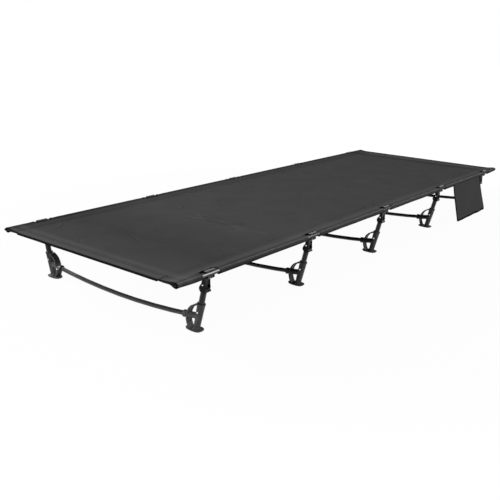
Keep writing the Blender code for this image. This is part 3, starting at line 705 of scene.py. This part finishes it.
def stitch_run(bm, path, pitch=0.0030, length=0.0021, radius=0.00024, lift=0.0001):
    """Row of stitches along a path of (point, normal)."""
    points = [Vector(p) for p, _ in path]
    normals = [Vector(n) for _, n in path]
    runs = [0.0]
    for a, b in zip(points, points[1:]):
        runs.append(runs[-1] + (b - a).length)

    def at(distance):
        k = min(len(points) - 2, max(0, int(np.searchsorted(runs, distance)) - 1))
        t = (distance - runs[k]) / max(runs[k + 1] - runs[k], 1e-9)
        return points[k].lerp(points[k + 1], t), normals[k].lerp(normals[k + 1], t).normalized()

    count = int(runs[-1] / pitch)
    for i in range(count):
        start = (i + 0.15) * runs[-1] / count
        a, normal = at(start)
        b, _ = at(start + length)
        along = (b - a).normalized()
        side = along.cross(normal).normalized()
        ring_points = []
        for t, size, rise in ((0.0, 0.45, 0.1), (0.5, 1.0, 0.9), (1.0, 0.45, 0.1)):
            centre = a.lerp(b, t) + normal * (lift + radius * rise)
            ring_points.append([centre + (side * math.cos(q) + normal * math.sin(q)) * radius * size
                                for q in (0, math.tau / 4, math.tau / 2, 3 * math.tau / 4)])
        rings = [[bm.verts.new(p) for p in ring] for ring in ring_points]
        bridge(bm, rings)
        bm.faces.new(rings[0][::-1])
        bm.faces.new(rings[-1])


def stitches(name, paths, look, body, **kwargs):
    """One piece that holds several rows of stitches."""
    bm = bmesh.new()
    for path in paths:
        stitch_run(bm, path, **kwargs)
    bmesh.ops.recalc_face_normals(bm, faces=bm.faces)
    for face in bm.faces:
        face.smooth = True
    return new_piece(name, finished_mesh(name, bm), look, body)


def top_path(start, end, steps, lift=CLOTH / 2):
    """Straight row over the deck's top between two (x, y) points."""
    path = []
    for t in np.linspace(0, 1, steps):
        x = start[0] + (end[0] - start[0]) * t
        y = start[1] + (end[1] - start[1]) * t
        path.append(((x, y, TOP_Z + wrinkle(x, y) + lift), (0, 0, 1)))
    return path


def make_deck_stitching():
    """Seams of the sleeves, the hems' rows and the bar tacks beside the notches."""
    made = []
    reach = LENGTH / 2 - SEAM_MARGIN
    for side, name in SIDE_NAMES.items():
        rows = [top_path((-reach, side * (SEAM_Y - inset)), (reach, side * (SEAM_Y - inset)), 400)
                for inset in SEAM_ROWS]
        made.append(stitches(f"sleeve_seam_{name}", rows, THREAD_LOOK, BED))
    for end, name in END_NAMES.items():
        rows = [top_path((end * (LENGTH / 2 - inset), -HEM_ROW_HALF),
                         (end * (LENGTH / 2 - inset), HEM_ROW_HALF), 160, CLOTH * 1.25)
                for inset in HEM_ROWS]
        made.append(stitches(f"hem_seam_{name}", rows, THREAD_LOOK, BED))
    tacks = []
    inner = NOTCH_HALF - NOTCH_TAPER
    for leg in LEG_XS:
        for side in (-1, 1):
            back = side * (NOTCH_EDGE - TACK_BACK)
            tacks.append(top_path((leg - inner - TACK_REACH, back), (leg + inner + TACK_REACH, back), 24))
            for end in (-1, 1):
                x = leg + end * (inner + TACK_OUT)
                tacks.append(top_path((x, back), (x + end * TACK_FLARE, side * (RAIL_Y - 0.001)), 8))
                for k in range(BAR_TACKS):
                    x = leg + end * (inner + BAR_TACK_OUT + BAR_TACK_PITCH * k)
                    start, stop = (side * (NOTCH_EDGE + y) for y in BAR_TACK_SPAN)
                    tacks.append(top_path((x, start), (x, stop), 6))
    made.append(stitches("notch_stitching", tacks, TACK_LOOK, BED, **TACK_STITCH))
    return made


def make_notch_dark_strips():
    """Dark strip round the three sides of each notch, on the deck's top."""
    made = []
    inner = NOTCH_HALF - NOTCH_TAPER
    for number, leg in enumerate(LEG_XS, 1):
        for side, name in SIDE_NAMES.items():
            corners = [(leg - NOTCH_HALF, RAIL_Y), (leg - inner, NOTCH_EDGE),
                       (leg + inner, NOTCH_EDGE), (leg + NOTCH_HALF, RAIL_Y)]
            path = []
            for start, end, steps in zip(corners, corners[1:], (8, 24, 8)):
                for t in np.linspace(0, 1, steps, endpoint=False):
                    x = start[0] + (end[0] - start[0]) * t
                    y = start[1] + (end[1] - start[1]) * t
                    path.append(Vector((x, side * y, TOP_Z + wrinkle(x, side * y) + CLOTH * 0.4)))
            path.append(Vector((corners[-1][0], side * RAIL_Y, TOP_Z + CLOTH * 0.4)))
            made.append(tube_along(f"notch_dark_strip_{name}_{number}", path, NOTCH_STRIP, BINDING_LOOK, BED,
                                   8, up=(0, 0, 1)))
    return made


def pocket_point(u, v, panel):
    """Point of the pocket: u across it, v down from its top, on its back or front panel."""
    x = POCKET_X[0] + (POCKET_X[1] - POCKET_X[0]) * u - POCKET_NARROW * u * (1 - v) ** 1.5
    drop = v * POCKET_HANG
    belly = (max(0.0, math.sin(math.pi * u)) ** 0.5) * math.sin(math.pi * min(1.0, 0.12 + v * 0.88)) ** 0.6
    fold = noise.noise(Vector((x * 11, drop * 7, 6))) + 0.5 * noise.noise(Vector((x * 24, drop * 10, 3)))
    sway = POCKET_SWAY * noise.noise(Vector((x * 7, 0.0, 4))) * v
    out = POCKET_STAND + POCKET_LEAN * v ** 1.2 + sway
    if panel == "front":
        out += POCKET_FRONT[0] + POCKET_FRONT[1] * belly + POCKET_FOLD * fold * belly
    else:
        out -= POCKET_BACK[0] + POCKET_BACK[1] * belly
    wavy = POCKET_WAVE * noise.noise(Vector((x * 17, 0.0, 1.5))) * v ** 3
    pinch = POCKET_PINCH * math.copysign(1, u - 0.5) * smooth_step(abs(u - 0.5), 0.40, 0.5)
    return Vector((x - pinch * math.sin(math.pi * v), -POCKET_Y - max(out, 0.0), POCKET_TOP - drop + wavy))


def make_pocket():
    """Pouch of two panels sewn at the sides and bottom."""
    us = np.linspace(0, 1, 64)
    made = []
    for panel, start in POCKET_START.items():
        vs = np.linspace(start, 1, 40)
        points = [[pocket_point(u, v, panel) for u in us] for v in vs]
        flat = [[(u * (POCKET_X[1] - POCKET_X[0]), v * POCKET_HANG) for u in us] for v in vs]
        piece = new_piece(f"pocket_{panel}", grid_mesh(f"pocket_{panel}", points, flat),
                          POCKET_CLOTH_LOOK, POCKET_BODY)
        thicken(piece, POCKET_CLOTH * 0.7)
        made.append(piece)
    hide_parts("side_pocket")
    return made


def tube_along(name, path, radii, look, body, sides=10, up=(0, 1, 0)):
    """Closed tube along a path, with an oval section that is thin along up."""
    bm = bmesh.new()
    rings = []
    up = Vector(up)
    for i, point in enumerate(path):
        along = (path[min(i + 1, len(path) - 1)] - path[max(i - 1, 0)]).normalized()
        side = along.cross(up).normalized()
        out = side.cross(along).normalized()
        rings.append([bm.verts.new(point + side * radii[0] * math.cos(q) + out * radii[1] * math.sin(q))
                      for q in np.linspace(0, math.tau, sides, endpoint=False)])
    bridge(bm, rings)
    for face in bm.faces:
        face.smooth = True
    bm.faces.new(rings[0])
    bm.faces.new(rings[-1])
    bmesh.ops.recalc_face_normals(bm, faces=bm.faces)
    return new_piece(name, finished_mesh(name, bm), look, body)


def pocket_rim(u, v):
    """Point of the pocket's sewn edge, midway between its panels."""
    return (pocket_point(u, v, "back") + pocket_point(u, v, "front")) / 2


def make_pocket_binding():
    """Tape folded round the pocket's sides and bottom, a bound lip, and rows of stitches."""
    top = POCKET_START["front"]
    rim = [pocket_rim(0, v) for v in np.linspace(top, 0.985, 26)]
    rim += [pocket_rim(u, 1) for u in np.linspace(0.008, 0.992, 70)]
    rim += [pocket_rim(1, v) for v in np.linspace(0.985, top, 26)]
    dark_cover = tube_along("pocket_binding", rim, POCKET_BINDING, BINDING_LOOK, POCKET_BODY, 12)
    mouth = [pocket_point(u, top, "front") for u in np.linspace(0.01, 0.99, 60)]
    lip = tube_along("pocket_lip", mouth, POCKET_LIP, POCKET_CLOTH_LOOK, POCKET_BODY, 10)
    left, right, low = POCKET_ROWS, 1 - POCKET_ROWS, 1 - 2 * POCKET_ROWS
    routes = ([(left, v) for v in np.linspace(0.04, low, 60)],
              [(u, low) for u in np.linspace(left, right, 90)],
              [(right, v) for v in np.linspace(low, 0.04, 60)],
              [(u, POCKET_MOUTH_ROW) for u in np.linspace(left, right, 90)])
    outward = (0, -1, 0.1)
    rows = [[(pocket_point(u, v, "front") - Vector((0, 0.0004, 0)), outward) for u, v in route]
            for route in routes]
    thread = stitches("pocket_stitching", rows, THREAD_LOOK, POCKET_BODY)
    return [dark_cover, lip, thread]


def make_foot_rivets():
    """Domed rivet heads on both faces of each strut socket."""
    bm = bmesh.new()
    steps, sides = 5, 16
    for leg in LEG_XS:
        for side in (-1, 1):
            for face in (-1, 1):
                centre = Vector((leg + face * FOOT_SOCKET_HALF, side * FOOT_RIVET_Y, FOOT_RIVET_Z))
                rings = []
                for k in range(steps):
                    tilt = math.pi / 2 * k / steps
                    radius, height = FOOT_RIVET_R * math.cos(tilt), FOOT_RIVET_RISE * math.sin(tilt)
                    rings.append([bm.verts.new(centre + Vector((face * height, radius * math.cos(q),
                                                                radius * math.sin(q))))
                                  for q in np.linspace(0, math.tau, sides, endpoint=False)])
                tip = bm.verts.new(centre + Vector((face * FOOT_RIVET_RISE, 0, 0)))
                bridge(bm, rings)
                for k in range(sides):
                    bm.faces.new((rings[-1][k], rings[-1][(k + 1) % sides], tip))
                bm.faces.new(rings[0][::-1])
    bmesh.ops.recalc_face_normals(bm, faces=bm.faces)
    for face in bm.faces:
        face.smooth = len(face.verts) < sides
    new_piece("foot_rivets", finished_mesh("foot_rivets", bm), RIVET_LOOK, BED)


def dress_cad():
    """Finishes of the rigid pieces, with softened moulded edges."""
    looks = {"side_rail": RAIL_LOOK, "leg_tube": TUBE_LOOK, "crossbar": TUBE_LOOK, "foot": FOOT_LOOK,
             "rail_hook": HOOK_LOOK, "clamp_lever": CLAMP_LOOK, "lever_pin": RIVET_LOOK}
    moulded = ("foot", "rail_hook", "clamp_lever")
    for name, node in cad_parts.items():
        for prefix, look in looks.items():
            if name.startswith(prefix):
                node.data.materials.clear()
                node.data.materials.append(look)
        if name.startswith(moulded):
            weld = node.modifiers.new("weld", "WELD")
            weld.merge_threshold = 0.00001
            bevel = node.modifiers.new("edge", "BEVEL")
            bevel.width = SOFT_EDGE
            bevel.segments = 2
            bevel.limit_method = "ANGLE"
            bevel.angle_limit = SOFT_ANGLE
            bevel.harden_normals = True


def make_camera():
    """Camera at the photograph's viewing angle."""
    forward = Vector((math.cos(CAMERA_ELEVATION) * math.cos(CAMERA_AZIMUTH),
                      math.cos(CAMERA_ELEVATION) * math.sin(CAMERA_AZIMUTH),
                      math.sin(CAMERA_ELEVATION)))
    level = forward.cross(Vector((0, 0, 1))).normalized()
    upright = level.cross(forward)
    right = level * math.cos(CAMERA_ROLL) + upright * math.sin(CAMERA_ROLL)
    up = upright * math.cos(CAMERA_ROLL) - level * math.sin(CAMERA_ROLL)
    matrix = Matrix((right, up, -forward)).transposed().to_4x4()
    matrix.translation = CAMERA_AT
    data = bpy.data.cameras.new("photo_camera")
    data.sensor_width = SENSOR_MM
    data.lens = FOCAL_PX / FRAME_PX * SENSOR_MM
    data.clip_start = 0.02
    camera = bpy.data.objects.new("photo_camera", data)
    bpy.context.scene.collection.objects.link(camera)
    camera.matrix_world = matrix
    bpy.context.scene.camera = camera


def add_area(name, place, target, size, power):
    """Soft rectangular lamp aimed at a point."""
    data = bpy.data.lights.new(name, "AREA")
    data.shape = "RECTANGLE"
    data.size, data.size_y = size
    data.energy = power
    light = bpy.data.objects.new(name, data)
    bpy.context.scene.collection.objects.link(light)
    light.location = place
    light.rotation_euler = (Vector(target) - Vector(place)).to_track_quat("-Z", "Y").to_euler()


def make_world():
    """Even surroundings, white to the eye and in reflections."""
    world = bpy.data.worlds.new("studio")
    world.use_nodes = True
    graph = Graph(world.node_tree)
    rays = graph.add("ShaderNodeLightPath").outputs
    seen = graph.math("MAXIMUM", rays["Is Camera Ray"], rays["Is Glossy Ray"])
    lit = graph.add("ShaderNodeBackground")
    graph.feed(lit, "Color", (0.98, 0.99, 1.0, 1.0))
    graph.feed(lit, "Strength", WORLD_LIGHT)
    white = graph.add("ShaderNodeBackground")
    graph.feed(white, "Color", (1, 1, 1, 1))
    graph.feed(white, "Strength", 1.0)
    mix = graph.add("ShaderNodeMixShader")
    graph.feed(mix, 0, seen)
    graph.feed(mix, 1, lit.outputs[0])
    graph.feed(mix, 2, white.outputs[0])
    out = graph.add("ShaderNodeOutputWorld")
    graph.feed(out, "Surface", mix.outputs[0])
    bpy.context.scene.world = world


def make_floor():
    """White floor: it keeps a faint shadow near the bed and runs into white away from it."""
    bpy.ops.mesh.primitive_plane_add(size=FLOOR_SIZE, location=(0, 0, FLOOR_Z))
    floor = bpy.context.object
    floor.name = "floor"
    made = bpy.data.materials.new("pale_floor")
    made.use_nodes = True
    graph = Graph(made.node_tree)
    coords = graph.add("ShaderNodeTexCoord").outputs["Object"]
    away = graph.add("ShaderNodeVectorMath", operation="LENGTH")
    graph.feed(away, 0, coords)
    shade = graph.noise(coords, 3, 2, 0.5)
    diffuse = graph.add("ShaderNodeBsdfDiffuse")
    graph.feed(diffuse, "Color", graph.mix(shade, grey(FLOOR_TONE * 0.98), grey(FLOOR_TONE * 1.02)))
    glow = graph.add("ShaderNodeEmission")
    graph.feed(glow, "Color", (1, 1, 1, 1))
    graph.feed(glow, "Strength", (1 - (1 - FLOOR_SHARE) * FLOOR_TONE) / FLOOR_SHARE)
    rays = graph.add("ShaderNodeLightPath").outputs
    plain = graph.remap(away.outputs["Value"], *FLOOR_FADE, FLOOR_SHARE, 1.0)
    seen = graph.math("MAXIMUM", rays["Is Camera Ray"], rays["Is Glossy Ray"])
    share = graph.math("MULTIPLY", seen, plain)
    mix = graph.add("ShaderNodeMixShader")
    graph.feed(mix, 0, share)
    graph.feed(mix, 1, diffuse.outputs[0])
    graph.feed(mix, 2, glow.outputs[0])
    out = graph.add("ShaderNodeOutputMaterial")
    graph.feed(out, "Surface", mix.outputs[0])
    floor.data.materials.append(made)


def make_studio():
    """Surroundings, floor and lamps."""
    make_world()
    make_floor()
    for name, settings in LAMPS.items():
        add_area(name, *settings)


make_camera()
make_studio()
dress_cad()
make_foot_rivets()
deck, deck_width = make_deck()
hems = make_hem(-1) + make_hem(1)
hems += [make_mouth_hem(end, side) for end in (-1, 1) for side in (-1, 1)]
deck_threads = make_deck_stitching() + make_notch_dark_strips()
pocket_panels = make_pocket()
pocket_tapes = make_pocket_binding()

bpy.context.scene.view_settings.view_transform = "Standard"
